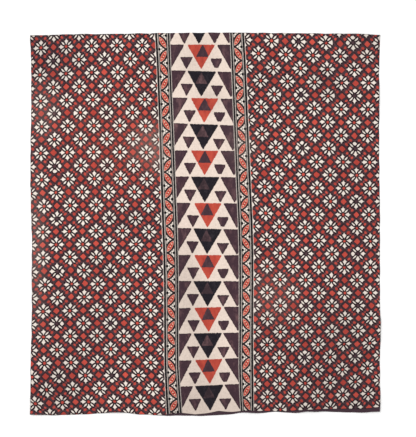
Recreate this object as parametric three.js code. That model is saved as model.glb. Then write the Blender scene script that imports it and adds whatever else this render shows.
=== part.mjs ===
// A hand block printed cotton cloth, laid out in one layer on a flat surface.
//
// It is one cut length, so it is one closed solid: an underside and a face that follow the same
// soft swells, and a thin wall around the edge. It lies flat except where a swell lifts it, and
// its lower edge is a narrow turned hem. Millimetres, +Z up, +Y towards the cloth's upper end,
// with the origin under the middle of the cloth.

import * as THREE from 'three';

// Driving sizes
const clothWidth = 1120;
const clothLength = 1226;
const sheetThickness = 2;

// The turned hem along the lower edge
const hemWidth = 11;
const hemBulge = 0.6;
const hemStart = -150;
const hemFullAt = -90;

// How finely the sheet is divided
const columns = 38;
const rows = 38;

// The two side edges, from the upper end to the lower one
const sideEdges = [
  { up: 613, left: -560, right: 559.5 },
  { up: 554, left: -558.5, right: 558 },
  { up: 506, left: -557, right: 556 },
  { up: 362, left: -557, right: 556 },
  { up: 247, left: -559, right: 556 },
  { up: 132, left: -559.5, right: 557 },
  { up: 55, left: -558, right: 558.5 },
  { up: -60, left: -554.5, right: 558.5 },
  { up: -243, left: -554.5, right: 558.5 },
  { up: -339, left: -556, right: 560 },
  { up: -444, left: -559, right: 558.5 },
  { up: -559, left: -559, right: 559.5 },
  { up: -613, left: -559.5, right: 557 },
];

// The upper and lower edges, from left to right
const endEdges = [
  { across: -560, upper: 603.5, lower: -608.5 },
  { across: -461, upper: 606, lower: -611 },
  { across: -375, upper: 608, lower: -608 },
  { across: -282, upper: 609, lower: -601 },
  { across: -193, upper: 610.5, lower: -609.5 },
  { across: -141, upper: 611.5, lower: -612.5 },
  { across: 9, upper: 612.5, lower: -613 },
  { across: 57, upper: 613, lower: -610 },
  { across: 137, upper: 612.5, lower: -602 },
  { across: 172, upper: 612, lower: -604 },
  { across: 233, upper: 611.5, lower: -600.5 },
  { across: 287, upper: 611, lower: -604 },
  { across: 335, upper: 610.5, lower: -598.5 },
  { across: 451, upper: 609, lower: -601.5 },
  { across: 489, upper: 608.5, lower: -603 },
  { across: 560, upper: 606, lower: -598.5 },
];

// The soft swells that lift the cloth: where the middle is, which way the swell runs in degrees
// from +X, its length and width where it has died away, and its height at the middle
const swells = [
  { x: -558, y: -609, turn: 48, length: 220, width: 190, height: 8 },
  { x: -283, y: -604, turn: 97, length: 420, width: 130, height: 7 },
  { x: 145, y: -604, turn: 84, length: 360, width: 120, height: 5 },
  { x: 335, y: -600, turn: 78, length: 460, width: 130, height: 6.5 },
  { x: 558, y: -600, turn: 128, length: 200, width: 170, height: 6 },
  { x: -556, y: -170, turn: 6, length: 380, width: 200, height: 5 },
  { x: 559, y: -330, turn: 172, length: 300, width: 180, height: 5.5 },
  { x: 557, y: 400, turn: -170, length: 340, width: 190, height: 4.5 },
  { x: -430, y: 607, turn: -82, length: 360, width: 170, height: 5 },
  { x: 470, y: 609, turn: -101, length: 300, width: 150, height: 4.5 },
  { x: -558, y: 604, turn: -42, length: 170, width: 150, height: 4 },
  { x: -250, y: 190, turn: 63, length: 560, width: 240, height: 3 },
  { x: 290, y: -60, turn: -52, length: 620, width: 220, height: 3.5 },
  { x: 60, y: 330, turn: 18, length: 380, width: 200, height: 2.5 },
];

// A table's column between its rows, eased so that an edge has no corners
function readTable(table, key, place, column) {
  const rising = table[0][key] < table[table.length - 1][key];
  const ordered = rising ? table : [...table].reverse();
  const last = ordered.length - 1;
  if (place <= ordered[0][key]) return ordered[0][column];
  if (place >= ordered[last][key]) return ordered[last][column];
  const next = ordered.findIndex((row) => row[key] > place);
  const before = ordered[next - 1];
  const after = ordered[next];
  const eased = THREE.MathUtils.smoothstep(place, before[key], after[key]);
  return THREE.MathUtils.lerp(before[column], after[column], eased);
}

// One at the middle, nothing at or past the end, and level at both
function softBump(share) {
  return Math.abs(share) < 1 ? 0.5 + 0.5 * Math.cos(Math.PI * share) : 0;
}

// How high the cloth is lifted off the surface at a place
function lift(x, y) {
  let height = 0;
  for (const swell of swells) {
    const turn = THREE.MathUtils.degToRad(swell.turn);
    const dx = x - swell.x;
    const dy = y - swell.y;
    const along = dx * Math.cos(turn) + dy * Math.sin(turn);
    const across = dy * Math.cos(turn) - dx * Math.sin(turn);
    height += swell.height * softBump(along / (swell.length / 2)) * softBump(across / (swell.width / 2));
  }
  return height;
}

// The rows are evenly spaced, apart from the last one, which is the hem
function rowPlace(row) {
  const hemShare = hemWidth / clothLength;
  return row === 0 ? 0 : hemShare + (1 - hemShare) * (row - 1) / (rows - 1);
}

// Where a grid point of the sheet lies, seen from above
function planPoint(column, row) {
  const acrossShare = column / columns;
  const upShare = rowPlace(row);
  const across = (acrossShare - 0.5) * clothWidth;
  const up = (upShare - 0.5) * clothLength;
  const left = readTable(sideEdges, 'up', up, 'left');
  const right = readTable(sideEdges, 'up', up, 'right');
  const lower = readTable(endEdges, 'across', across, 'lower');
  const upper = readTable(endEdges, 'across', across, 'upper');
  return {
    x: THREE.MathUtils.lerp(left, right, acrossShare),
    y: THREE.MathUtils.lerp(lower, upper, upShare),
  };
}

// The sheet is thicker where its lower edge is turned in
function thicknessAt(x, row) {
  const hemmed = row <= 1 ? THREE.MathUtils.smoothstep(x, hemStart, hemFullAt) : 0;
  return sheetThickness + hemBulge * hemmed;
}

function clothGeometry() {
  const across = columns + 1;
  const layer = across * (rows + 1);
  const underside = [];
  const face = [];
  for (let row = 0; row <= rows; row += 1) {
    for (let column = 0; column <= columns; column += 1) {
      const { x, y } = planPoint(column, row);
      const z = lift(x, y);
      underside.push(x, y, z);
      face.push(x, y, z + thicknessAt(x, row));
    }
  }

  const at = (column, row) => row * across + column;
  const triangles = [];
  const addFourSides = (a, b, c, d) => triangles.push(a, b, c, a, c, d);
  for (let row = 0; row < rows; row += 1) {
    for (let column = 0; column < columns; column += 1) {
      const nearLeft = at(column, row);
      const nearRight = at(column + 1, row);
      const farRight = at(column + 1, row + 1);
      const farLeft = at(column, row + 1);
      addFourSides(nearLeft, farLeft, farRight, nearRight);
      addFourSides(layer + nearLeft, layer + nearRight, layer + farRight, layer + farLeft);
    }
  }

  // The wall around the edge, counterclockwise seen from above
  const rim = [];
  for (let column = 0; column < columns; column += 1) rim.push(at(column, 0));
  for (let row = 0; row < rows; row += 1) rim.push(at(columns, row));
  for (let column = columns; column > 0; column -= 1) rim.push(at(column, rows));
  for (let row = rows; row > 0; row -= 1) rim.push(at(0, row));
  rim.forEach((here, place) => {
    const next = rim[(place + 1) % rim.length];
    addFourSides(here, next, layer + next, layer + here);
  });

  const geometry = new THREE.BufferGeometry();
  geometry.setAttribute('position', new THREE.Float32BufferAttribute([...underside, ...face], 3));
  geometry.setIndex(triangles);
  geometry.computeVertexNormals();
  return geometry;
}

const printedCotton = new THREE.MeshStandardMaterial({ color: 0x54403f, roughness: 0.92, metalness: 0 });

const cloth = new THREE.Mesh(clothGeometry(), printedCotton);
cloth.name = 'cloth';

const blockPrintFabric = new THREE.Group();
blockPrintFabric.add(cloth);

export default blockPrintFabric;
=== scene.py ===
# %% [markdown]
# A cotton cloth, printed by hand with carved wooden blocks and laid out flat.
#
# The lesson has two halves. The first makes the sheet: one thin closed mesh on the swells of its
# CAD solid. The second makes the print, which the material works out from a few coordinates
# that the sheet carries, so that it stays crisp at any distance. The tables are in millimetres, as
# a printer would measure them, and a length turns into Blender's metres when it is used.

# %% The frame
import math

import bpy
import numpy as np
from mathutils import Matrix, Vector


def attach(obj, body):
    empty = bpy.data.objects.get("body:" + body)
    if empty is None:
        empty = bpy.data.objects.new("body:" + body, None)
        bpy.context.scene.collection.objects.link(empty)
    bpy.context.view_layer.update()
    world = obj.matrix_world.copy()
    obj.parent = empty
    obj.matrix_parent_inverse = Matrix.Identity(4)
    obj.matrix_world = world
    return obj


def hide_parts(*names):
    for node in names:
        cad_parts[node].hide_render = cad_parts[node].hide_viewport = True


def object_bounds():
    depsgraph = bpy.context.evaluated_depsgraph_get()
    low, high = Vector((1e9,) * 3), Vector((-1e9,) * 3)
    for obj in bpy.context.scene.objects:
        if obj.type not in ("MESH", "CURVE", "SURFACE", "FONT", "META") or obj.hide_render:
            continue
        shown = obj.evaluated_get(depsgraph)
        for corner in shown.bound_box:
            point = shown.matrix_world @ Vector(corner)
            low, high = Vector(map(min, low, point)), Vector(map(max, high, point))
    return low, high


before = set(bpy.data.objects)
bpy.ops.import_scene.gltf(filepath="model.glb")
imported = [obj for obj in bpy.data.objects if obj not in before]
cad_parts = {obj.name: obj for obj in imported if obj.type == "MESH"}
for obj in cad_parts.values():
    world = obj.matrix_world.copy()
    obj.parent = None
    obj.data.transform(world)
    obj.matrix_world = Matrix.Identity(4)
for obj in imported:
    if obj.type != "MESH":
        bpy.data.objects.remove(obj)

MM = 0.001
cad_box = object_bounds()
cad_low, cad_high = (np.array(corner) / MM for corner in cad_box)
print("CAD box in mm:", cad_low.round(1), cad_high.round(1))

# %% [markdown]
# The photograph looks straight down on the cloth. A long lens from high up keeps its four edges
# parallel, as they are there. The picture is higher than it is wide, so the sensor's width goes
# with its height: how far up the camera stands follows from that, the lens and the length of
# table that one picture height covers.

# %% Camera
PICTURE_HEIGHT = 437
MM_PER_PIXEL = 3.2
VIEW_CENTRE = (8.6, 18.1)
LENS = 85
SENSOR = 36

camera_data = bpy.data.cameras.new("camera")
camera_data.lens = LENS
camera_data.sensor_width = SENSOR
camera = bpy.data.objects.new("camera", camera_data)
camera_height = PICTURE_HEIGHT * MM_PER_PIXEL * LENS / SENSOR
camera.location = (VIEW_CENTRE[0] * MM, VIEW_CENTRE[1] * MM, camera_height * MM)
bpy.context.scene.collection.objects.link(camera)
bpy.context.scene.camera = camera
print("camera is", round(camera_height), "mm above the table")

# %% [markdown]
# The light is that of a copy stand: white from all round, and one large soft lamp above that
# leans a little to one side, so that the swells in the cloth have a light and a dark flank. The
# table is a plain near-white board. It is a shade paler than the cloth's unprinted cotton.

# %% Light and table
SKY = 0.8
LAMP_WATTS = 178
LAMP_PLACE = (-2.2, 1.8, 5.5)
LAMP_WIDTH = 2.4
TABLE_SIZE = 24
TABLE_BELOW = 0.5
TABLE_WHITE = (0.93, 0.93, 0.93, 1)

scene = bpy.context.scene
scene.view_settings.view_transform = "Standard"
world = bpy.data.worlds.new("soft_white_room")
world.use_nodes = True
room = world.node_tree.nodes["Background"]
room.inputs["Color"].default_value = (1, 1, 1, 1)
room.inputs["Strength"].default_value = SKY
scene.world = world

lamp_data = bpy.data.lights.new("soft_lamp", "AREA")
lamp_data.shape = "DISK"
lamp_data.size = LAMP_WIDTH
lamp_data.energy = LAMP_WATTS
lamp = bpy.data.objects.new("soft_lamp", lamp_data)
lamp.location = LAMP_PLACE
lamp.rotation_euler = (-lamp.location).to_track_quat("-Z", "Y").to_euler()
scene.collection.objects.link(lamp)

half = TABLE_SIZE / 2
table_mesh = bpy.data.meshes.new("table")
table_corners = [(-half, -half, 0), (half, -half, 0), (half, half, 0), (-half, half, 0)]
table_mesh.from_pydata(table_corners, [], [(0, 1, 2, 3)])
table = bpy.data.objects.new("table", table_mesh)
table.location.z = -TABLE_BELOW * MM
board = bpy.data.materials.new("white_board")
board.use_nodes = True
board.node_tree.nodes["Principled BSDF"].inputs["Base Color"].default_value = TABLE_WHITE
board.node_tree.nodes["Principled BSDF"].inputs["Roughness"].default_value = 1
board.node_tree.nodes["Principled BSDF"].inputs["Specular IOR Level"].default_value = 0
table_mesh.materials.append(board)
scene.collection.objects.link(table)

# %% [markdown]
# A cloth that was torn and cut by hand is never a true rectangle. These are the CAD solid's own
# tables: how far its side edges stand from the middle, where its upper and lower edges run, and
# the swells that lift it off the table. Each begins with the names of its columns. A table is read
# at any place between its rows, eased so that an edge has no corners.

# %% Outline and swells
def rows_of(names, *rows):
    """A table: each row gives a value to each of the names."""
    return [dict(zip(names.split(), row)) for row in rows]


SIDE_EDGES = rows_of(
    "up left right",
    (613, -560, 559.5),
    (554, -558.5, 558),
    (506, -557, 556),
    (362, -557, 556),
    (247, -559, 556),
    (132, -559.5, 557),
    (55, -558, 558.5),
    (-60, -554.5, 558.5),
    (-243, -554.5, 558.5),
    (-339, -556, 560),
    (-444, -559, 558.5),
    (-559, -559, 559.5),
    (-613, -559.5, 557),
)
END_EDGES = rows_of(
    "across upper lower",
    (-560, 603.5, -608.5),
    (-461, 606, -611),
    (-375, 608, -608),
    (-282, 609, -601),
    (-193, 610.5, -609.5),
    (-141, 611.5, -612.5),
    (9, 612.5, -613),
    (57, 613, -610),
    (137, 612.5, -602),
    (172, 612, -604),
    (233, 611.5, -600.5),
    (287, 611, -604),
    (335, 610.5, -598.5),
    (451, 609, -601.5),
    (489, 608.5, -603),
    (560, 606, -598.5),
)
SWELLS = rows_of(
    "x y turn length width height",
    (-558, -609, 48, 220, 190, 8),
    (-283, -604, 97, 420, 130, 7),
    (145, -604, 84, 360, 120, 5),
    (335, -600, 78, 460, 130, 6.5),
    (558, -600, 128, 200, 170, 6),
    (-556, -170, 6, 380, 200, 5),
    (559, -330, 172, 300, 180, 5.5),
    (557, 400, -170, 340, 190, 4.5),
    (-430, 607, -82, 360, 170, 5),
    (470, 609, -101, 300, 150, 4.5),
    (-558, 604, -42, 170, 150, 4),
    (-250, 190, 63, 560, 240, 3),
    (290, -60, -52, 620, 220, 3.5),
    (60, 330, 18, 380, 200, 2.5),
)


def column(table, key, name):
    """Two columns of a table as arrays, in rising order of the first one."""
    rows = sorted(table, key=lambda row: row[key])
    return np.array([row[key] for row in rows], float), np.array([row[name] for row in rows], float)


def eased(table, key, name, place):
    """A table's column at any place, with a soft passage from each row to the next."""
    stops, values = column(table, key, name)
    place = np.clip(place, stops[0], stops[-1])
    before = np.clip(np.searchsorted(stops, place, side="right") - 1, 0, len(stops) - 2)
    share = (place - stops[before]) / (stops[before + 1] - stops[before])
    share = share * share * (3 - 2 * share)
    return values[before] * (1 - share) + values[before + 1] * share


def straight(table, key, name, place):
    """A table's column at any place, in straight lines from row to row."""
    return np.interp(place, *column(table, key, name))


def soft_bump(share):
    """One at the middle, nothing at or past the end, and level at both."""
    return np.where(np.abs(share) < 1, 0.5 + 0.5 * np.cos(np.pi * share), 0)


def lift(x, y):
    """How high the swells lift the cloth off the table."""
    height = np.zeros_like(x)
    for swell in SWELLS:
        turn = math.radians(swell["turn"])
        dx, dy = x - swell["x"], y - swell["y"]
        along = dx * math.cos(turn) + dy * math.sin(turn)
        across = dy * math.cos(turn) - dx * math.sin(turn)
        bump = soft_bump(along / (swell["length"] / 2)) * soft_bump(across / (swell["width"] / 2))
        height += swell["height"] * bump
    return height


# %% [markdown]
# Down the middle of the cloth runs a band of triangles, printed a row at a time, from the top black
# and red in turn. The printer set each row down by eye, so it sits a little off and a little askew.
# A row has to keep its straight edges, so no face of the mesh may lie under two rows. That is
# arranged by letting the mesh follow the print: between the rows of triangles is a narrow cream
# gap, and in the middle of each gap runs a line of the mesh. In the table, skew is a row's slope,
# inner is how far its standing triangles sit to the side, and worn is how thin its dye is. The
# second table is the dark turned hem, wider at some places along the lower edge than at others.

# %% Rows of triangles, and the hem
TRIANGLE_ROWS = rows_of(
    "x y skew inner worn",
    (-21.5, 658, -0.018, 0, 0.5),
    (-13, 574.3, 0.004, 4.5, 0.5),
    (-11, 489.5, 0.027, -1, 1),
    (-2, 402.9, 0.024, 0, 0.9),
    (-4, 319.5, 0.04, -4, 0.9),
    (-1.5, 235.3, 0.011, 0, 0.5),
    (-0.5, 151.5, 0.014, -4, 0.5),
    (8, 67.4, 0.013, -2, 0.5),
    (7.5, -14.5, 0.023, -3.5, 0.6),
    (8.5, -98.8, 0.003, 0, 0.4),
    (7.5, -182, 0.006, -1, 0.6),
    (8.5, -266.3, -0.026, -0.5, 0.6),
    (7.5, -348.5, -0.018, -2, 1),
    (11, -432.7, -0.045, -2.5, 0.4),
    (12, -515.5, -0.047, -2, 0.4),
)
HALF_GAP = 2.2
SKEW_REACH = 110
HEM_WIDTH = rows_of(
    "across width",
    (-180, 0),
    (-135, 3),
    (-113, 6.5),
    (-75, 9),
    (-33, 4.5),
    (-4, 7),
    (41, 13.5),
    (89, 6.5),
    (137, 6.5),
    (188, 7),
    (239, 0.5),
    (290, 9.5),
    (325, 6),
    (399, 10),
    (485, 12.5),
    (560, 14.5),
)


def gap_above(row, x):
    """The line in the middle of the cream gap above a row of triangles."""
    return row["y"] + HALF_GAP - row["skew"] * (np.clip(x, -SKEW_REACH, SKEW_REACH) - row["x"])


# %% [markdown]
# The sheet is a grid, twice: the face, and the underside one cotton's thickness below it. A wall
# around the edge closes them. Across the grid, each line of the mesh lies on one of a few guide
# lines (the upper edge, the gaps, the top of the hem, the lower edge) or evenly between two.
# A cloth's cut edge also wavers by half a millimetre, which two unequal waves imitate. The hem rises
# to its full height where it is a few millimetres wide, and falls a little towards the edge.

# %% Grid of the sheet
COLUMNS = 176
FIRST_ROWS = 6
ROWS_PER_PRINT = 13
LAST_ROWS = 14
HEM_ROWS = 3
SHEET_THICKNESS = 1.0
HEM_RISE = 0.7
LEAST_HEM = 1.5
FULL_HEM = 5
HEM_AT_EDGE = 0.6
WAVER = 0.35

steps = [FIRST_ROWS] + [ROWS_PER_PRINT] * (len(TRIANGLE_ROWS) - 2) + [LAST_ROWS, HEM_ROWS]
rows = sum(steps)
mid_x = np.linspace(cad_low[0], cad_high[0], COLUMNS + 1)


def guide_lines(x):
    """The lines across the cloth that the mesh has to follow, from its upper edge down."""
    lower = eased(END_EDGES, "across", "lower", x)
    hem = np.maximum(straight(HEM_WIDTH, "across", "width", x), LEAST_HEM)
    gaps = [gap_above(row, x) for row in TRIANGLE_ROWS[1:]]
    return [eased(END_EDGES, "across", "upper", x), *gaps, lower + hem, lower]


def waver(place, first, second):
    """How far a cut edge strays from its line: two waves, each with its own length."""
    return WAVER * (np.sin(place / first) + np.sin(place / second))


guides = guide_lines(mid_x)
lines = [guides[0]]
for above, below, count in zip(guides, guides[1:], steps):
    for step in range(1, count + 1):
        lines.append(above + (below - above) * step / count)
grid_y = np.array(lines)
left = eased(SIDE_EDGES, "up", "left", grid_y) + waver(grid_y, 7.3, 11.9)
right = eased(SIDE_EDGES, "up", "right", grid_y) + waver(grid_y, 8.7, 13.1)
share_across = np.linspace(0, 1, COLUMNS + 1)[None, :]
grid_x = left * (1 - share_across) + right * share_across
grid_y[0] += waver(mid_x, 9.1, 12.7)
grid_y[-1] += waver(mid_x, 8.3, 14.9)

print_row = np.repeat(np.arange(len(steps)), steps)
print_row = np.minimum(print_row, len(TRIANGLE_ROWS) - 1)
hem_share = np.zeros(rows + 1)
hem_share[-HEM_ROWS:] = np.linspace(1, HEM_AT_EDGE, HEM_ROWS)
hem_here = np.clip(straight(HEM_WIDTH, "across", "width", grid_x) / FULL_HEM, 0, 1)
hem_here = hem_here * hem_share[:, None]
low_z = lift(grid_x, grid_y)
face_z = low_z + SHEET_THICKNESS + HEM_RISE * hem_here
print("grid of", rows, "rows by", COLUMNS, "columns, highest", round(float(face_z.max()), 2), "mm")

# %% [markdown]
# Each point has a number, counted along the rows, and a face is four such numbers. The underside
# repeats the face's numbers in the other direction, so that it looks down. The ring of points
# around the edge, taken with the ring below it, makes the wall.

# %% Faces of the sheet
SHARP_ANGLE = 50

across = COLUMNS + 1
layer = across * (rows + 1)
number = np.arange(layer).reshape(rows + 1, across)
face_points = np.stack([grid_x, grid_y, face_z], -1).reshape(-1, 3)
low_points = np.stack([grid_x, grid_y, low_z], -1).reshape(-1, 3)
points = np.concatenate([face_points, low_points])

upper_left, upper_right = number[:-1, :-1], number[:-1, 1:]
lower_left, lower_right = number[1:, :-1], number[1:, 1:]
face_faces = np.stack([lower_left, lower_right, upper_right, upper_left], -1).reshape(-1, 4)
low_faces = face_faces[:, ::-1] + layer
ring = np.concatenate([number[-1, :-1], number[:0:-1, -1], number[0, :0:-1], number[:-1, 0]])
ring_next = np.roll(ring, -1)
wall_faces = np.stack([ring + layer, ring_next + layer, ring_next, ring], -1)
faces = np.concatenate([face_faces, low_faces, wall_faces])

sheet_mesh = bpy.data.meshes.new("block_printed_cloth")
sheet_mesh.from_pydata((points * MM).tolist(), [], faces.tolist())
sheet_mesh.shade_smooth()
sheet_mesh.set_sharp_from_angle(angle=math.radians(SHARP_ANGLE))
cloth = bpy.data.objects.new("block_printed_cloth", sheet_mesh)
scene.collection.objects.link(cloth)
print(len(faces) * 2, "triangles, all closed:", not sheet_mesh.validate())

# %% [markdown]
# The two wide fields are covered by one carved block of eight flowers, which was set down again and
# again. Its marks drift: a row climbs a little, the next is a little wider. So the flowers aren't on
# a straight lattice, and each field has its own table instead, which says where a row of flowers
# starts, how far apart its flowers are and how much it climbs. Each row also bows a little. Read
# backwards, the table tells each point of the cloth how many half pitches it lies from the field's
# first flower. A row that climbs and bows has no short answer, so a few rounds close in on it.

# %% Places in the flower fields
LEFT_FIELD = rows_of(
    "row x y step climb",
    (-2, -363.5, 654.5, 40, 0.8),
    (0, -363.5, 569.5, 40.5, 0.95),
    (2, -362.5, 484, 41.5, 1.1),
    (4, -360, 398.5, 41.7, 0.9),
    (6, -356.5, 315, 41.6, 0.45),
    (8, -357, 230.5, 42.2, 0.3),
    (10, -354.5, 145.5, 42, 0.35),
    (12, -348.5, 61, 41.5, 0.35),
    (14, -349.5, -22, 42.4, 0.15),
    (16, -348.5, -106, 42.6, 0),
    (18, -343.5, -191.5, 42, 0.25),
    (20, -347, -275.5, 43, 0.3),
    (22, -346.5, -357.5, 42.8, 0.2),
    (24, -345, -441.5, 42.6, 0.25),
    (26, -338.5, -526, 42.4, 0.4),
    (27, -332, -567.5, 42, 0.45),
    (29, -324.5, -650.5, 41.6, 0.5),
)
RIGHT_FIELD = rows_of(
    "row x y step climb",
    (-2, 295.5, 670, 43.2, -1.6),
    (0, 298.5, 583.5, 43.4, -1.4),
    (3, 306, 455.5, 43.2, -1.1),
    (6, 306, 328.5, 42.3, -1.05),
    (7, 307.5, 286, 42.1, -1),
    (9, 313, 201, 42.5, -1),
    (11, 316, 116.5, 42, -0.85),
    (13, 316.5, 32, 41.2, -0.75),
    (14, 319.5, -10, 41.4, -0.65),
    (16, 322.5, -94, 41.5, -0.6),
    (18, 320.5, -178.5, 41.1, -0.5),
    (20, 322.5, -261.5, 41.4, -0.2),
    (22, 323, -343.5, 41.3, 0.35),
    (24, 317.5, -426, 40.4, 0.65),
    (25, 317.5, -467.5, 40.2, 1),
    (27, 319.5, -550, 40.1, 1.3),
    (29, 320, -633, 40.3, 1.1),
)
LEFT_BOW = -0.166
RIGHT_BOW = 0.086
SOLVING_ROUNDS = 5


def flower_place(field, bow, x, y):
    """How many half pitches each point lies across and down from the field's first flower."""
    over = np.zeros_like(x)
    down = straight(field, "y", "row", y)
    for _ in range(SOLVING_ROUNDS):
        level = y - straight(field, "row", "climb", down) * over - bow * over ** 2
        down = straight(field, "y", "row", level)
        over = (x - straight(field, "row", "x", down)) / straight(field, "row", "step", down)
    return over, down


x, y = points[:, 0], points[:, 1]
left_over, left_down = flower_place(LEFT_FIELD, LEFT_BOW, x, y)
right_over, right_down = flower_place(RIGHT_FIELD, RIGHT_BOW, x, y)

# %% [markdown]
# A border of slanting leaves runs down each side of the band, between two black lines. It has its
# own pair of coordinates: how far a point lies from the border's field-side line, on a scale on
# which the other line is at 40 mm, and how many zigzags of the leaves it lies from the top.
#
# The right-hand field was printed from the other end of the table, so its block is turned half
# round. Its flowers are counted backwards, and shifted by 64, a whole number of blocks, so that no
# count is used twice.

# %% Places in the borders and the band
OTHER_SIDE = 64
BORDER_WIDTH = 40
BORDER_LINES = rows_of(
    "up left left_inner right_inner right",
    (612, -157.8, -117.8, 82.2, 120.6),
    (525, -152.6, -114.6, 86.5, 125.8),
    (350, -145.9, -107.2, 93.5, 132.9),
    (175, -140.4, -100.7, 101, 140.3),
    (0, -134.9, -93.9, 108.9, 148.3),
    (-90, -131.4, -91.3, 111.3, 150.4),
    (-175, -129.3, -89.9, 112, 150.7),
    (-350, -128.5, -89.5, 111.9, 149.9),
    (-455, -127.4, -88.7, 111.1, 150.2),
    (-545, -123.5, -82.9, 113.7, 150.9),
    (-612, -119.4, -78.1, 117.4, 151.4),
)
ZIGZAGS = rows_of(
    "count left right",
    (-1, 647, 656),
    (0, 559.5, 567.5),
    (1, 471.5, 479.5),
    (3, 297, 305),
    (5, 123, 130),
    (7, -49, -40),
    (10, -305.5, -297.5),
    (13, -559, -554.5),
    (14, -642.5, -640),
)
ROW_CODE = 100

left_line, left_inner, right_inner, right_line = (
    straight(BORDER_LINES, "up", name, y) for name in ("left", "left_inner", "right_inner", "right")
)
on_right = x > (left_inner + right_inner) / 2
flower_over = np.where(on_right, OTHER_SIDE + 1 - right_over, left_over)
flower_down = np.where(on_right, 1 - right_down, left_down)
from_left = (x - left_line) / (left_inner - left_line)
from_right = (right_line - x) / (right_line - right_inner)
border_in = BORDER_WIDTH * np.where(on_right, from_right, from_left)
left_count, right_count = (straight(ZIGZAGS, side, "count", y) for side in ("left", "right"))
zigzag = np.where(on_right, right_count, left_count)

# %% [markdown]
# UV maps hold two numbers for each corner of each face, and that suits pairs of coordinates. For
# the band it matters that they belong to corners and not to points: on the line between two
# stamps, the face above keeps its own stamp's numbers, and so does the face below. The row's count
# is added to the second number in hundreds, where the material finds it again.
#
# One more map, OFBake, lays the face and the underside side by side in one square, for anyone who
# wants the whole finish as a picture.

# %% UV maps
FACE_SHARE = 0.796
UNDER_START = 0.815
UNDER_SHARE = 0.18
MARGIN = 0.006
WALL_WIDTH = MARGIN * 0.7

corner_point = faces.ravel()
row_of_face = np.repeat(print_row, COLUMNS)
ring_row = np.clip(ring // across, 0, rows - 1)
corner_row = np.repeat(np.concatenate([row_of_face, row_of_face, print_row[ring_row]]), 4)


def add_map(name, across_values, down_values):
    """Gives the sheet a UV map from two arrays with a number for each corner."""
    uv_map = sheet_mesh.uv_layers.new(name=name, do_init=False)
    both = np.stack([across_values, down_values], -1).astype(np.float32)
    uv_map.uv.foreach_set("vector", both.ravel())


stamp_x, stamp_y, stamp_skew, inner_by, worn = (
    np.array([row[name] for row in TRIANGLE_ROWS])[corner_row]
    for name in ("x", "y", "skew", "inner", "worn")
)
right_of = x[corner_point] - stamp_x
below = stamp_y - y[corner_point]
band_across = right_of + stamp_skew * below
band_down = below - stamp_skew * right_of + ROW_CODE * corner_row

flat = (points[:, :2] - points[:, :2].min(0)) / np.ptp(points[:, :2], axis=0)
flat = MARGIN + (1 - 2 * MARGIN) * flat
corner_flat = flat[corner_point]
is_low = corner_point >= layer
is_wall = np.arange(len(corner_point)) >= 4 * len(face_faces) * 2
outward = np.sign(corner_flat - 0.5) * (np.abs(corner_flat - 0.5) > 0.5 - 2 * MARGIN)
face_u = FACE_SHARE * corner_flat[:, 0]
under_u = UNDER_START + UNDER_SHARE * corner_flat[:, 0]
bake_u = np.where(is_low & ~is_wall, under_u, face_u)
bake_u = bake_u + np.where(is_wall & is_low, outward[:, 0] * WALL_WIDTH, 0)
bake_v = corner_flat[:, 1] + np.where(is_wall & is_low, outward[:, 1] * WALL_WIDTH, 0)

add_map("OFBake", bake_u, bake_v)
add_map("flowers", flower_over[corner_point], flower_down[corner_point])
add_map("border", border_in[corner_point], zigzag[corner_point])
add_map("band", band_across, band_down)
add_map("band_inner", band_across - inner_by, worn)
print("maps:", [uv_map.name for uv_map in sheet_mesh.uv_layers])

# %% [markdown]
# An old dyed cloth isn't one even colour. Light has bleached some places, wear has turned others
# chalky, and here and there the dye took more deeply. The eye finds these patches slowly, but a
# print without them looks like new paper. Each is a row in a short table, and the sheet carries
# them as plain numbers on its points, together with how far a point is from the hem's upper line
# and from the nearest edge.

# %% Patches and edges
PATCHES = rows_of(
    "kind x y wide tall share",
    ("faded", -240, 228, 170, 150, 0.7),
    ("faded", -290, 270, 300, 330, 0.6),
    ("faded", -160, 250, 60, 170, 0.4),
    ("faded", 210, -210, 100, 160, 0.4),
    ("faded", 255, -265, 110, 120, 0.35),
    ("chalky", -155, 237, 45, 160, 0.5),
    ("chalky", -190, 250, 90, 110, 0.7),
    ("chalky", 118, 250, 80, 100, 0.5),
    ("chalky", -525, 365, 90, 170, 0.5),
    ("chalky", 217, -230, 130, 150, 0.4),
    ("chalky", -540, -80, 50, 400, 0.7),
    ("deep", 200, -680, 520, 330, 1),
    ("deep", 480, 80, 170, 620, 0.35),
    ("deep", 220, -360, 120, 150, 0.6),
    ("deep", -60, -180, 80, 250, 0.7),
    ("deep", -60, -600, 90, 90, 0.7),
    ("deep", 20, 396, 80, 70, 0.7),
    ("deep", 500, -600, 120, 110, 0.6),
    ("deep", -460, -500, 130, 170, 0.4),
    ("deep", -30, -430, 110, 330, 0.6),
    ("deep", -30, 530, 110, 150, 0.5),
    ("deep", -400, -330, 260, 280, 0.45),
    ("deep", -241, 13, 110, 75, 0.6),
    ("deep", -350, -131, 80, 70, 0.6),
    ("deep", 191, 477, 80, 90, 0.6),
    ("deep", 380, 455, 100, 90, 0.9),
    ("deep", -500, 540, 200, 170, 1),
    ("deep", 520, 580, 190, 130, 0.7),
    ("deep", -500, -570, 200, 150, 0.7),
    ("deep", 430, -430, 240, 320, 1),
)


def add_number(name, values):
    """Gives the sheet a plain number on each point."""
    numbers = sheet_mesh.attributes.new(name, "FLOAT", "POINT")
    numbers.data.foreach_set("value", values.astype(np.float32))


for kind in ("faded", "chalky", "deep"):
    amount = np.zeros_like(x)
    for patch in (row for row in PATCHES if row["kind"] == kind):
        reach = np.hypot((x - patch["x"]) / patch["wide"], (y - patch["y"]) / patch["tall"])
        amount += patch["share"] * soft_bump(reach)
    add_number(kind, np.minimum(amount, 1))

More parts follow.
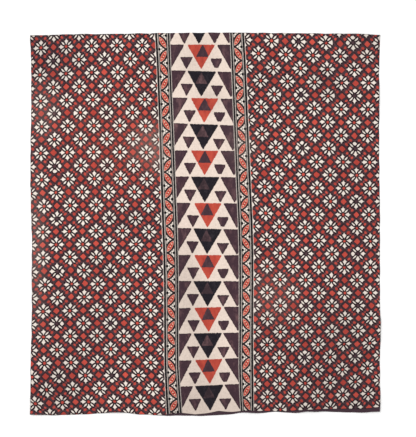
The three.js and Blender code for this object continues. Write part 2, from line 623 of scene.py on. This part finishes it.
lower_edge = eased(END_EDGES, "across", "lower", x)
add_number("above_hem", y - lower_edge - straight(HEM_WIDTH, "across", "width", x))
add_number("from_lower_edge", y - lower_edge)
side_gap = np.minimum(x - eased(SIDE_EDGES, "up", "left", y), eased(SIDE_EDGES, "up", "right", y) - x)
add_number("from_edge", np.minimum(side_gap, eased(END_EDGES, "across", "upper", x) - y))
add_number("underside", (np.arange(len(x)) >= layer).astype(float))
print("numbers on the points:", [a.name for a in sheet_mesh.attributes if a.domain == "POINT"])

# %% [markdown]
# The print itself is made of sums. A small class makes them readable: it wraps one socket of a
# shader node, and each operator adds the Math node that works it out. Every shape below is
# a number in millimetres, positive inside the shape and negative outside, and .ink() turns it into
# a mask whose edge is as soft as dye that has crept into the threads.

# %% Shader sums
INK_SOFTNESS = 1.0
DIAGONAL = math.sqrt(0.5)


class Wire:
    """A socket that can be added, multiplied and so on, each time by a new Math node."""

    def __init__(self, tree, socket=None):
        self.tree = tree
        self.socket = socket

    def node(self, kind, settings=None, sockets=None, output=None):
        """Adds a node: its settings first, then the values or wires of its sockets."""
        made = self.tree.nodes.new(kind)
        for name, value in (settings or {}).items():
            setattr(made, name, value)
        for name, value in (sockets or {}).items():
            named = [s for s in made.inputs if name in (s.identifier, s.name)]
            place = made.inputs[name] if isinstance(name, int) else named[0]
            if isinstance(value, Wire):
                self.tree.links.new(value.socket, place)
            else:
                place.default_value = value
        named = [s for s in made.outputs if output in (None, s.identifier, s.name)]
        return Wire(self.tree, named[0])

    def other(self, output):
        """Another output of the node that this one comes from."""
        return Wire(self.tree, self.socket.node.outputs[output])

    def maths(self, operation, *others, clamp=False):
        """Adds a Math node with this wire as its first value."""
        settings = {"operation": operation, "use_clamp": clamp}
        return self.node("ShaderNodeMath", settings, dict(enumerate([self, *others])))

    def __add__(self, other):
        return self.maths("ADD", other)

    def __radd__(self, other):
        return self.maths("ADD", other)

    def __sub__(self, other):
        return self.maths("SUBTRACT", other)

    def __rsub__(self, other):
        return self.node("ShaderNodeMath", {"operation": "SUBTRACT"}, {0: other, 1: self})

    def __mul__(self, other):
        return self.maths("MULTIPLY", other)

    def __rmul__(self, other):
        return self.maths("MULTIPLY", other)

    def __truediv__(self, other):
        return self.maths("DIVIDE", other)

    def __mod__(self, other):
        return self.maths("FLOORED_MODULO", other)

    def __pow__(self, other):
        return self.maths("POWER", other)

    def __abs__(self):
        return self.maths("ABSOLUTE")

    def least(self, *others):
        """The smallest of some numbers: a point is inside all of their shapes."""
        wire = self
        for other in others:
            wire = wire.maths("MINIMUM", other)
        return wire

    def most(self, *others):
        """The largest of some numbers: a point is inside one of their shapes."""
        wire = self
        for other in others:
            wire = wire.maths("MAXIMUM", other)
        return wire

    def clamped(self):
        """The number, kept between 0 and 1."""
        return self.maths("MULTIPLY", 1, clamp=True)

    def is_about(self, number):
        """One where a whole number is this one, and otherwise nothing."""
        return self.maths("COMPARE", number, 0.5)

    def ink(self, softness=INK_SOFTNESS):
        """A shape's mask: one inside, nothing outside, and a soft edge as wide as the softness."""
        return self.maths("MULTIPLY_ADD", 1 / softness, 0.5, clamp=True)


cotton_print = bpy.data.materials.new("block_printed_cotton")
cotton_print.use_nodes = True
shader = cotton_print.node_tree.nodes["Principled BSDF"]
start = Wire(cotton_print.node_tree)


def far(x, y):
    """The length of the line from the middle to a point."""
    return x.maths("MULTIPLY_ADD", x, y * y).maths("SQRT")


def disc(across, down, radius):
    """How far inside a round mark a point lies."""
    return radius - far(across, down)


def blend(mask, under, over):
    """One colour over another, where the mask is."""
    sockets = {"Factor_Float": mask, "A_Color": under, "B_Color": over}
    return start.node("ShaderNodeMix", {"data_type": "RGBA"}, sockets, "Result_Color")


def choose(mask, when_off, when_on):
    """One number where the mask is 0, and another one where it is 1."""
    return when_off.maths("MULTIPLY_ADD", 1 - mask, when_on * mask)


def scaled(colour, amount):
    """A colour made lighter or darker by a number."""
    sockets = {"Vector": colour, "Scale": amount}
    return colour.node("ShaderNodeVectorMath", {"operation": "SCALE"}, sockets)


# %% [markdown]
# Dyes are named once, as the eye reads them on a screen from 0 to 255. Blender wants the share of
# light that a surface sends back, so each number goes through the screen's curve and is divided by
# how brightly the table is lit.

# %% Dyes
TABLE_LIGHT = 1.22


def dye(red, green, blue):
    """A colour for a shader, from the screen colour that it should have under this light."""
    shares = [number / 255 for number in (red, green, blue)]
    linear = [((share + 0.055) / 1.055) ** 2.4 if share > 0.04 else share / 12.92 for share in shares]
    return tuple(share / TABLE_LIGHT for share in linear) + (1,)


COTTON = dye(249, 237, 225)
BORDER_COTTON = dye(255, 243, 230)
BAND_COTTON = dye(242, 223, 209)
GROUND = dye(70, 47, 54)
GROUND_GREY = dye(86, 63, 67)
OUTLINE = dye(26, 15, 21)
ARC_BROWN = dye(46, 30, 34)
RED = dye(222, 91, 76)
DEEP_RED = dye(168, 60, 52)
BAND_RED = dye(212, 88, 69)
PINK = dye(232, 156, 136)
PALE_DOT = dye(246, 214, 186)
BORDER_BLACK = dye(22, 21, 24)
BORDER_GREY = dye(190, 179, 171)
HAIRLINE = dye(216, 201, 192)
TRIANGLE_BLACK = dye(33, 29, 36)
WORN_BLACK = dye(60, 53, 60)
TRIANGLE_BROWN = dye(72, 51, 59)
WORN_BROWN = dye(122, 90, 92)
SHADOW_DYE = dye(44, 36, 46)
CHALK = dye(196, 176, 164)
FADED_GROUND = dye(128, 74, 68)
HEM_BROWN = dye(72, 53, 62)
BACK_COTTON = dye(214, 196, 182)

# %% [markdown]
# No carved line is quite straight, and the wet dye runs a little along the threads. So before any
# shape is worked out, the coordinates are shaken by a fine noise, a millimetre or so far. A second
# noise, much coarser, says where the dye lies thick or thin, and a third one makes small specks.

# %% Shaken coordinates
HALF_PITCH = 42
SHAKE = 4.4

place = start.node("ShaderNodeTexCoord", output="Object")


def noise(scale, detail, roughness, vector=place, output=None):
    """A noise: how many waves it has to the metre, and how much finer detail."""
    sockets = {"Vector": vector, "Scale": scale, "Detail": detail, "Roughness": roughness}
    return start.node("ShaderNodeTexNoise", sockets=sockets, output=output)


def spread(number, middle, strength):
    """A noise's distance from its middle, made stronger or weaker."""
    return (number - middle) * strength


shake = start.node("ShaderNodeSeparateXYZ", sockets={0: noise(170, 2, 0.6, output="Color")})
shake_across, shake_down = spread(shake, 0.5, SHAKE), spread(shake.other("Y"), 0.5, SHAKE)
thick = noise(26, 4, 0.55)
specks = noise(150, 4, 0.7)


def read_map(name):
    """The two coordinates of a UV map."""
    pair = start.node("ShaderNodeUVMap", {"uv_map": name})
    across = start.node("ShaderNodeSeparateXYZ", sockets={0: pair})
    return across, across.other("Y")


def read_number(name):
    """A plain number from the sheet's points."""
    return start.node("ShaderNodeAttribute", {"attribute_name": name}, output="Fac")


# %% [markdown]
# In the fields, flowers and red diamonds alternate like the colours of a chess board. Turned by
# an eighth of a circle that is a square lattice, so the nearest flower is found by rounding. What
# is left after the rounding is where a point lies from that flower's middle. The whole pattern is
# the same in the four quarters and about their diagonals, so two folds are enough to draw every
# petal once.

# %% The nearest flower
flower_a, flower_b = read_map("flowers")
field_a = flower_a + shake_across / HALF_PITCH
field_b = flower_b + shake_down / HALF_PITCH


def fold(a, b):
    """Which flower is nearest, and how far a point lies from it across and down, in millimetres."""
    u, v = (a + b) * 0.5, (a - b) * 0.5
    near_u, near_v = u.maths("ROUND"), v.maths("ROUND")
    u, v = (u - near_u) * HALF_PITCH, (v - near_v) * HALF_PITCH
    return near_u + near_v, near_u - near_v, u + v, u - v


flower_column, flower_row, right_by, down_by = fold(field_a, field_b)
across_by, along_by = abs(right_by), abs(down_by)
ahead, beside = across_by.most(along_by), across_by.least(along_by)
from_middle = far(ahead, beside)

# %% [markdown]
# A flower has four broad petals and four narrow ones between them. A broad petal widens from the
# flower's middle to two sharp shoulders, and then draws in along a hollow curve to its tip. One
# flower of the eight was carved otherwise: it has no red eye, and two of its petals are short and
# blunt. The flower beside it had its nearest petal cut off at the shoulders.

# %% Cream petals
PETAL_START = 7.3
PETAL_TIP = 26.2
FLANK_START = 7.7
FLANK_SLOPE = 0.56
FLANK_HALF = 0.5
FLANK_LEAN = 0.86
SHOULDER_OUT = 18
SHOULDER_HALF = 7.4
TIP_REACH = 12.8
TIP_HOLLOW = 3.6
TIP_TRIM = 0.2
TIP_LEAN = 0.6
CUT_OUT = 21.5
CUT_ROUNDING = 0.03
BLUNT_OUT = 22
BLUNT_START = 10.2
BLUNT_SLOPE = 0.7
BLUNT_HALF = 6.2
BLUNT_ROUNDING = 0.1
NARROW_MIDDLE = 15.2
NARROW_LENGTH = 14.8
NARROW_WIDTH = 4.7

special = (flower_column % 4).is_about(1) * (flower_row % 4).is_about(1)
to_right = right_by - along_by
to_left = right_by * -1 - along_by
to_bottom = down_by - across_by
beside_special = (flower_column % 4).is_about(3) * (flower_row % 4).is_about(1)
blunt = special * to_right.most(to_bottom).maths("GREATER_THAN", 0)
cut_short = beside_special * to_left.maths("GREATER_THAN", 0)


def vesica(along, across, half_length, half_width):
    """How far inside the shape that two circles share a point lies."""
    radius = (half_length ** 2 + half_width ** 2) / (2 * half_width)
    return radius - far(along, abs(across) + (radius - half_width))


inner_side = ((ahead - FLANK_START) * FLANK_SLOPE + FLANK_HALF - beside) * FLANK_LEAN
tip_share = (1 - (ahead - SHOULDER_OUT) / TIP_REACH).clamped()
outer_side = (tip_share ** TIP_HOLLOW * SHOULDER_HALF - beside - TIP_TRIM) * TIP_LEAN
cut_side = CUT_OUT - ahead - beside * beside * CUT_ROUNDING
outer_side = choose(cut_short, outer_side, cut_side)
broad_petal = inner_side.least(outer_side, ahead - PETAL_START, PETAL_TIP - ahead)
round_end = BLUNT_OUT - ahead - beside * beside * BLUNT_ROUNDING
blunt_petal = round_end.least(ahead - BLUNT_START - beside * BLUNT_SLOPE, BLUNT_HALF - beside)
broad_petal = choose(blunt, broad_petal, blunt_petal)

slant_out = (ahead + beside) * DIAGONAL
slant_by = (ahead - beside) * DIAGONAL
narrow_petal = vesica(slant_out - NARROW_MIDDLE, slant_by, NARROW_LENGTH / 2, NARROW_WIDTH / 2)
petals = broad_petal.most(narrow_petal).ink()

# %% [markdown]
# The second block carries the dark outlines. Each narrow petal lies between two bars, open at the
# outer end, and a ring holds the flower's eye. Beside each tip are two dark spots, and a thin
# rhombus runs round every red diamond.

# %% Dark outlines
BAR_BY = 3.8
BAR_HALF = 1.55
BAR_START = 6
BAR_END = 25.5
RING_RADIUS = 6.2
RING_HALF = 1.1
SPOT_OUT = 21.8
SPOT_BY = 5.6
SPOT_RADIUS = 2.7
RHOMBUS_REACH = 13.6
RHOMBUS_HALF = 1.9
RHOMBUS_SOFTNESS = 1.6

bars = (BAR_HALF - abs(slant_by - BAR_BY)).least(BAR_END - slant_out, slant_out - BAR_START)
ring = RING_HALF - abs(from_middle - RING_RADIUS)
spot = disc(ahead - SPOT_OUT, beside - SPOT_BY, SPOT_RADIUS)
from_diamond = HALF_PITCH - ahead
rhombus = RHOMBUS_HALF - abs(from_diamond + beside - RHOMBUS_REACH) * DIAGONAL
outlines = bars.most(ring, spot).ink() * (1 - broad_petal.ink())
fine_lines = rhombus.ink(RHOMBUS_SOFTNESS) * (1 - petals)

# %% [markdown]
# The red block came last, and it never sat quite true: with each impression it is off by a
# millimetre or two. So the red shapes fold their own copy of the coordinates, pushed by a random
# amount that is the same for one whole impression of four half pitches by four. A second random
# number makes each red shape a little larger or smaller than its neighbours.

# %% Red shapes
BLOCK = 4
RED_DRIFT = 3.6
NO_DRIFT_ACROSS = 0.28
NO_DRIFT_DOWN = 0.2
EYE_RADIUS = 4.4
DIAMOND_REACH = 10.6
DIAMOND_LEAN = 0.75
DIAMOND_RADIUS = 9.4
LOZENGE_OUT = 19.9
LOZENGE_LENGTH = 10.4
LOZENGE_WIDTH = 8.2
LOZENGE_SCALE = 4.5
DIAMOND_GROWS = 0.8
DIAMOND_SHRINKS = 0.5
LOZENGE_GROWS = 1.4
LOZENGE_SHRINKS = 0.9
DOT_PLACE = 21.4
DOT_RADIUS = 3.1
DOT_SOFTNESS = 1.8
DOT_STRENGTH = 0.75


def random_of(across, down, output="Value"):
    """A random number or colour for each pair of whole numbers."""
    pair = start.node("ShaderNodeCombineXYZ", sockets={0: across, 1: down})
    return start.node("ShaderNodeTexWhiteNoise", {"noise_dimensions": "2D"}, {"Vector": pair}, output)


block_across = ((flower_a + 0.5) / BLOCK).maths("FLOOR")
block_down = ((flower_b + 0.5) / BLOCK).maths("FLOOR")
drift = random_of(block_across, block_down, "Color")
drift = start.node("ShaderNodeSeparateXYZ", sockets={0: drift})
red_a = field_a + spread(drift, NO_DRIFT_ACROSS, RED_DRIFT / HALF_PITCH)
red_b = field_b + spread(drift.other("Y"), NO_DRIFT_DOWN, RED_DRIFT / HALF_PITCH)
_, _, red_right, red_down = fold(red_a, red_b)
red_right, red_down = abs(red_right), abs(red_down)
red_ahead, red_beside = red_right.most(red_down), red_right.least(red_down)
from_diamond = HALF_PITCH - red_ahead

eye = disc(red_ahead, red_beside, EYE_RADIUS) - special * (2 * EYE_RADIUS)
lozenge_out = (from_diamond + red_beside) * DIAGONAL - LOZENGE_OUT
lozenge_by = (from_diamond - red_beside) * DIAGONAL
which_red = random_of((red_a * 2).maths("ROUND"), (red_b * 2).maths("ROUND"))
diamond = (DIAMOND_REACH - from_diamond - red_beside) * DIAMOND_LEAN
diamond = diamond.least(disc(from_diamond, red_beside, DIAMOND_RADIUS))
diamond = diamond + which_red * DIAMOND_GROWS - DIAMOND_SHRINKS
lozenge = far(lozenge_out / (LOZENGE_WIDTH / 2), lozenge_by / (LOZENGE_LENGTH / 2))
lozenge = (1 - lozenge) * LOZENGE_SCALE + which_red * LOZENGE_GROWS - LOZENGE_SHRINKS
middle_dot = disc(red_ahead - DOT_PLACE, red_beside - DOT_PLACE, DOT_RADIUS)
red_shapes = eye.most(diamond, lozenge).ink()
red_dots = middle_dot.ink(DOT_SOFTNESS) * DOT_STRENGTH

# %% [markdown]
# Now the fields are laid down as the printer did it: bare cotton, the dark ground around the
# petals, the red, and the black outlines on top. The ground's tone wanders with the coarse noise
# and with the specks, and the red is thicker in some motifs than in others.

# %% Colour of the fields
MOTTLE = 1.6
FADED_STRENGTH = 0.5
FINE_LINE_STRENGTH = 0.55

mottled = spread(specks, 0.5, MOTTLE)
red_ink = blend((which_red * 0.6 + thick * 0.5 + mottled - 0.1).clamped(), RED, DEEP_RED)
ground_ink = blend((spread(thick, 0.35, 2.4) - mottled).clamped(), GROUND_GREY, GROUND)
ground_ink = blend(read_number("faded") * FADED_STRENGTH, ground_ink, FADED_GROUND)
field_colour = blend(petals, ground_ink, COTTON)
field_colour = blend(fine_lines * FINE_LINE_STRENGTH, field_colour, OUTLINE)
field_colour = blend(red_shapes.most(red_dots), field_colour, red_ink)
field_colour = blend(outlines, field_colour, OUTLINE)

# %% [markdown]
# In the borders, a leaf leans one way and the next leaf the other, so half a zigzag holds the
# whole drawing. A leaf is a vesica, the shape that two circles share, and so is the pair of dark
# brown arcs around it. Down its middle runs a string of pale dots. The corners that are left over
# hold a dark blob each, with beads along the arcs.

# %% Leaves of the border
ZIGZAG = 86
LINE_SHAKE = 0.6
LEAF_IN = 19.8
LEAF_DOWN = 21.9
DOWN_SHARE = 0.85
IN_SHARE = 0.527
ARC_HALF = 3
LEAF_DOT_GAP = 9
LEAF_DOT_ROOM = 14
BEAD_GAP = 7.4
BEAD_OUT = 5
BLOB_SCALE = 4

border_in, zigzag_down = read_map("border")
border_in = border_in + shake_across * LINE_SHAKE
turn_by = abs(zigzag_down - zigzag_down.maths("ROUND")) * ZIGZAG + shake_down * LINE_SHAKE
leaf_in, leaf_down = border_in - LEAF_IN, turn_by - LEAF_DOWN
leaf_along = leaf_down * DOWN_SHARE - leaf_in * IN_SHARE
leaf_across = leaf_in * DOWN_SHARE + leaf_down * IN_SHARE

leaf_rim = vesica(leaf_along, leaf_across, half_length=20, half_width=7.2)
leaf_red = vesica(leaf_along, leaf_across, half_length=18, half_width=6)
outside_arc = vesica(leaf_along, leaf_across, half_length=26, half_width=10)
arcs = ARC_HALF - abs(outside_arc)


def nearest(along, gap):
    """How far a point lies from the nearest of a row of marks that are a gap apart."""
    return along - (along / gap).maths("ROUND") * gap


def oval(across, down, half_width, half_length):
    """Roughly how far inside an oval mark a point lies."""
    return (1 - far(across / half_width, down / half_length)) * BLOB_SCALE


from_dot = nearest(leaf_along, LEAF_DOT_GAP)
pale_dots = disc(from_dot, leaf_across, 1.9).least(LEAF_DOT_ROOM - abs(leaf_along))
dark_dots = disc(abs(from_dot) - LEAF_DOT_GAP / 2, leaf_across, 1.7)
dark_dots = dark_dots.least(LEAF_DOT_ROOM - 1 - abs(leaf_along))
beads = disc(nearest(leaf_along, BEAD_GAP), outside_arc + BEAD_OUT, 1.4)
from_turn = turn_by - ZIGZAG / 2
blob = oval(border_in - 31, from_turn, 4.4, 4.8).most(oval(border_in - 8.2, turn_by, 4.3, 4.7))
corner_dot = disc(border_in - 24, from_turn, 1.5).most(disc(border_in - 15.6, turn_by, 1.5))

# %% [markdown]
# Down both sides of the leaves run black lines, and between them greyish ones, where little dye
# reached the cotton. A line needs only the distance from its own middle. The border is then laid
# down from the bottom up: black and cotton, the beads, the pink rims of the leaves, the red, its
# dots, the arcs, and the lines and blobs last.

# %% Lines of the border
LEAF_ZONE_START = 7.4
LEAF_ZONE_END = 33.2
BAND_START = 45.4
BORDER_START = -4.9
HAIRLINE_END = -3.2


def stripe(middle, width):
    """How far inside a line that runs down the border a point lies."""
    return width / 2 - abs(border_in - middle)


leaf_zone = (border_in - LEAF_ZONE_START).least(LEAF_ZONE_END - border_in).ink()
black_lines = stripe(-0.3, 4.2).most(stripe(40, 4.4), stripe(8.0, 1.3), stripe(32.7, 1.9)).ink()
grey_lines = stripe(4.8, 3.0).most(stripe(36, 2.8), stripe(44.2, 2.6)).ink()
in_band = (border_in - BAND_START).ink()
in_border = (border_in - BORDER_START).ink()
hairline = (HAIRLINE_END - border_in).ink()

border_colour = blend(leaf_zone, BORDER_BLACK, BORDER_COTTON)
border_colour = blend(hairline, border_colour, HAIRLINE)
dark_marks = beads.most(corner_dot).ink() * leaf_zone * (1 - outside_arc.ink())
border_colour = blend(dark_marks, border_colour, ARC_BROWN)
border_colour = blend(leaf_rim.ink() * leaf_zone, border_colour, PINK)
leaf_ink = blend((leaf_red * 0.2 + mottled * 0.5).clamped(), RED, DEEP_RED)
border_colour = blend(leaf_red.ink() * leaf_zone, border_colour, leaf_ink)
border_colour = blend(dark_dots.ink() * leaf_zone * 0.6, border_colour, DEEP_RED)
border_colour = blend(pale_dots.ink() * leaf_zone, border_colour, PALE_DOT)
border_colour = blend(arcs.ink() * leaf_zone, border_colour, ARC_BROWN)
border_colour = blend(grey_lines, border_colour, BORDER_GREY)
border_colour = blend(black_lines.most(blob.ink()), border_colour, BORDER_BLACK)

# %% [markdown]
# In the band, all triangles hang from the top of their row with the point down, apart from a small
# one that stands inside each large one. The large ones are 96 mm apart, so folding at half that
# distance brings the neighbours on top of the middle one. In the red rows only the middle triangle
# is red. The two small ones to its sides were printed brown, and in red rows the right-hand one
# was cut short, like a cup. A black triangle shows its standing one only faintly, where it is worn.

# %% Triangles of the band
TRIANGLE_PITCH = 96
ROOM_ABOVE = 10
NEIGHBOUR_SHIFT = 0.8
RED_ROW_SHIFT = 1.2
SMALL_DOWN = 41.5
RED_ROW_RAISE = 2
CUP_BY = 48.6
CUP_DOWN = 43.8
CUP_DEPTH = 30.5
CUP_HALF = 21.5
CUP_CORNER = 17.3
CUP_SLOPE = 0.52
CUP_LEAN = 0.89

band_x, band_code = read_map("band")
row_count = ((band_code + ROOM_ABOVE) / ROW_CODE).maths("FLOOR")
band_y = band_code - row_count * ROW_CODE + shake_down
band_x = band_x + shake_across
red_row = row_count % 2
from_centre = abs(band_x)
neighbour = (from_centre - TRIANGLE_PITCH / 2).maths("GREATER_THAN", 0)
neighbour_x = band_x + neighbour * (red_row * RED_ROW_SHIFT + NEIGHBOUR_SHIFT)
big_across = abs(abs(neighbour_x) - neighbour * TRIANGLE_PITCH)


def hanging(across, down, half_width, depth, corner=2.5, point=2):
    """How far inside a triangle with its point down: its corners and point are cut a little short."""
    slope = half_width / depth
    side = (half_width - down * slope - across) / math.hypot(1, slope)
    return side.least(down, half_width - corner - across, depth - point - down)


big_black = hanging(big_across, band_y, half_width=47, depth=82.5)
big_red = hanging(big_across, band_y, half_width=45, depth=79.5)
big = choose(red_row, big_black, big_red)

small_down = band_y - SMALL_DOWN + red_row * RED_ROW_RAISE
small_left = hanging(abs(band_x + 47), small_down, 21, 41, corner=1.8, point=3.5)
small_right = hanging(abs(band_x - 49.7), band_y - 44.8, 21, 38, corner=1.8, point=3.2)
cup_by = abs(band_x - CUP_BY)
cup_down = band_y - CUP_DOWN
cup_side = (CUP_HALF - cup_down * CUP_SLOPE - cup_by) * CUP_LEAN
cup = cup_side.least(CUP_CORNER - cup_by, cup_down, CUP_DEPTH - cup_down)
small_right = choose(red_row, small_right, cup)
small = small_left.most(small_right)

inner_x, worn = read_map("band_inner")
inner_x = abs(inner_x + shake_across)
standing = hanging(inner_x, 39.4 - band_y, 21, 42, corner=1.2, point=4.5)
standing_pale = hanging(inner_x, 40.5 - band_y, 19.5, 37, corner=1)

# %% [markdown]
# Dye gathers along the edge of a wooden block and leaves the middle thinner, so a printed triangle
# is darkest just inside its outline. In the brown ones the thin places show as reddish streaks.
# The noise for them is drawn out along the cloth, and it varies the black and the red as well.

# %% Colour of the band
RIM_WIDTH = 4
RIM_STRENGTH = 0.55
FAR_OUTSIDE = 50
WORN_LEAST = 0.3
WORN_SPREAD = 0.6

long_way = {"Vector": place, "Scale": (1.0, 0.45, 1.0), "Rotation": (0, 0, 0.5)}
stretch = start.node("ShaderNodeMapping", sockets=long_way)
streaks = noise(55, 4, 0.6, vector=stretch)
thin_places = (spread(streaks, 0.49, 5) + mottled * 0.5).clamped()
brown_shapes = (big * neighbour + (neighbour - 1) * FAR_OUTSIDE).most(small)
rim_dark = (1 - brown_shapes / RIM_WIDTH).clamped()
worn_brown = thin_places * (1 - rim_dark) * (worn * WORN_SPREAD + WORN_LEAST)
brown_ink = blend(worn_brown, TRIANGLE_BROWN, WORN_BROWN)
brown_ink = blend(rim_dark * RIM_STRENGTH, brown_ink, OUTLINE)
deep_red = thick * 0.5 + spread(streaks, 0.42, 2.2) + mottled
band_red = blend(deep_red.clamped(), BAND_RED, DEEP_RED)
band_black = blend((thin_places * 0.4 + mottled).clamped(), TRIANGLE_BLACK, WORN_BLACK)
middle_ink = blend(red_row, band_black, band_red)
pale_inner = standing_pale.ink() * (1 - red_row) * (thin_places * 0.6 + 0.35) * worn
middle_ink = blend(pale_inner.clamped(), middle_ink, WORN_BROWN)
standing_ink = blend(thin_places * 0.3, TRIANGLE_BROWN, WORN_BROWN)
middle_ink = blend(standing.ink() * red_row, middle_ink, standing_ink)

band_colour = blend(brown_shapes.ink(), BAND_COTTON, brown_ink)
band_colour = blend(big.ink() * (1 - neighbour), band_colour, middle_ink)

# %% [markdown]
# The three prints are put together by how far a point lies inside the border. Then come the
# marks of use: chalky and deep patches, a dark line where the dye stopped at the cut edge, and
# the plain turned hem along the lower edge, with a line of painted shade along its fold.

# %% The whole face
CHALK_STRENGTH = 0.16
SHADOW_STRENGTH = 0.14
EDGE_WIDTH = 1.6
EDGE_SOFTNESS = 2
EDGE_STRENGTH = 0.6
FOLD_SHADE_UP = -0.4
FOLD_SHADE_HALF = 0.7
FOLD_SHADE_STRENGTH = 0.7
TONE = 1.05
TONE_FALL = 0.12
SPECK_SHADE = 0.5

above_hem = read_number("above_hem")
face_colour = blend(in_border, field_colour, border_colour)
face_colour = blend(in_band, face_colour, band_colour)
face_colour = blend(read_number("chalky") * CHALK_STRENGTH, face_colour, CHALK)
deep = read_number("deep")
face_colour = blend(deep * SHADOW_STRENGTH, face_colour, SHADOW_DYE)
edge_dark = (EDGE_WIDTH - read_number("from_edge")).ink(EDGE_SOFTNESS) * (1 - in_band)
lower_dark = (EDGE_WIDTH - read_number("from_lower_edge")).ink(EDGE_SOFTNESS)
edge_dark = edge_dark.most(lower_dark)
face_colour = blend(edge_dark * EDGE_STRENGTH, face_colour, OUTLINE)
face_colour = blend((above_hem * -1).ink(), face_colour, HEM_BROWN)
# Painted shade: a dark line along the fold, where the raised hem steps up from the face.
fold_shade_line = (FOLD_SHADE_HALF - abs(above_hem - FOLD_SHADE_UP)).ink()
face_colour = blend(fold_shade_line * FOLD_SHADE_STRENGTH, face_colour, OUTLINE)

tone = TONE - deep * TONE_FALL - thick * TONE_FALL + spread(specks, 0.5, SPECK_SHADE)
face_colour = scaled(face_colour, tone)

# %% [markdown]
# Cotton this thin lets some of the dye through. So the underside shows the same print, much paler.
# The weave is a plain one: each thread goes over one and under the next. A chess board decides
# whether the thread that lies on top at a place runs up or across, and half a sine wave gives the
# thread its round back, which also lightens the colour on each thread's crown and darkens it
# between threads as painted shade. Some threads are thicker than others, which a noise that is
# stretched along them imitates.

# %% Underside, weave and roughness
THREAD = 0.45
THREAD_HEIGHT = 0.16
PALER_BACK = 0.66
FINE = 900.0
DRAWN_OUT = 22.0
SLUB_SHADE = 0.22
WEAVE_PAINTED_SHADE = 0.06
WEAVE_HEIGHT = 0.5
SLUB_HEIGHT = 0.6
ROUGH = 0.93
THICK_SMOOTHS = 0.08
SLUB_ROUGHENS = 0.12
SHINE = 0.12

underside = read_number("underside")
back_colour = blend(PALER_BACK, face_colour, BACK_COTTON)
whole_colour = blend(underside, face_colour, back_colour)

thread_x = start.node("ShaderNodeSeparateXYZ", sockets={0: place})
thread_y = thread_x.other("Y") * (1 / (THREAD * MM))
thread_x = thread_x * (1 / (THREAD * MM))
over = (thread_x.maths("FLOOR") + thread_y.maths("FLOOR")) % 2
round_up = abs((thread_x * math.pi).maths("SINE"))
round_across = abs((thread_y * math.pi).maths("SINE"))
weave = round_up.maths("MULTIPLY_ADD", over, round_across * (1 - over))


def thread_noise(scale):
    """A noise that is stretched along the threads of one direction."""
    drawn_out = start.node("ShaderNodeMapping", sockets={"Vector": place, "Scale": scale})
    return noise(1, 1, 0.5, vector=drawn_out)


slubs = thread_noise((FINE, DRAWN_OUT, 1.0)) + thread_noise((DRAWN_OUT, FINE, 1.0))
# Painted shade: the weave term lights each thread's crown and darkens the grooves between threads.
slub_tone_and_weave_shade = spread(slubs, 1, SLUB_SHADE) + weave * WEAVE_PAINTED_SHADE + (1 - WEAVE_PAINTED_SHADE / 2)
whole_colour = scaled(whole_colour, slub_tone_and_weave_shade)

height = weave * WEAVE_HEIGHT + slubs * SLUB_HEIGHT
bump_sockets = {"Height": height, "Strength": 0.5, "Distance": THREAD_HEIGHT * MM}
bump = start.node("ShaderNodeBump", sockets=bump_sockets)
roughness = ROUGH - thick * THICK_SMOOTHS + spread(slubs, 1, SLUB_ROUGHENS)
tree = cotton_print.node_tree
tree.links.new(whole_colour.socket, shader.inputs["Base Color"])
tree.links.new(roughness.socket, shader.inputs["Roughness"])
tree.links.new(bump.socket, shader.inputs["Normal"])
shader.inputs["Specular IOR Level"].default_value = SHINE
sheet_mesh.materials.append(cotton_print)
print(len(tree.nodes), "shader nodes")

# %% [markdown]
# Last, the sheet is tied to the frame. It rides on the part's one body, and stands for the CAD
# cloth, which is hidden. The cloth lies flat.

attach(cloth, "root")
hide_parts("cloth")
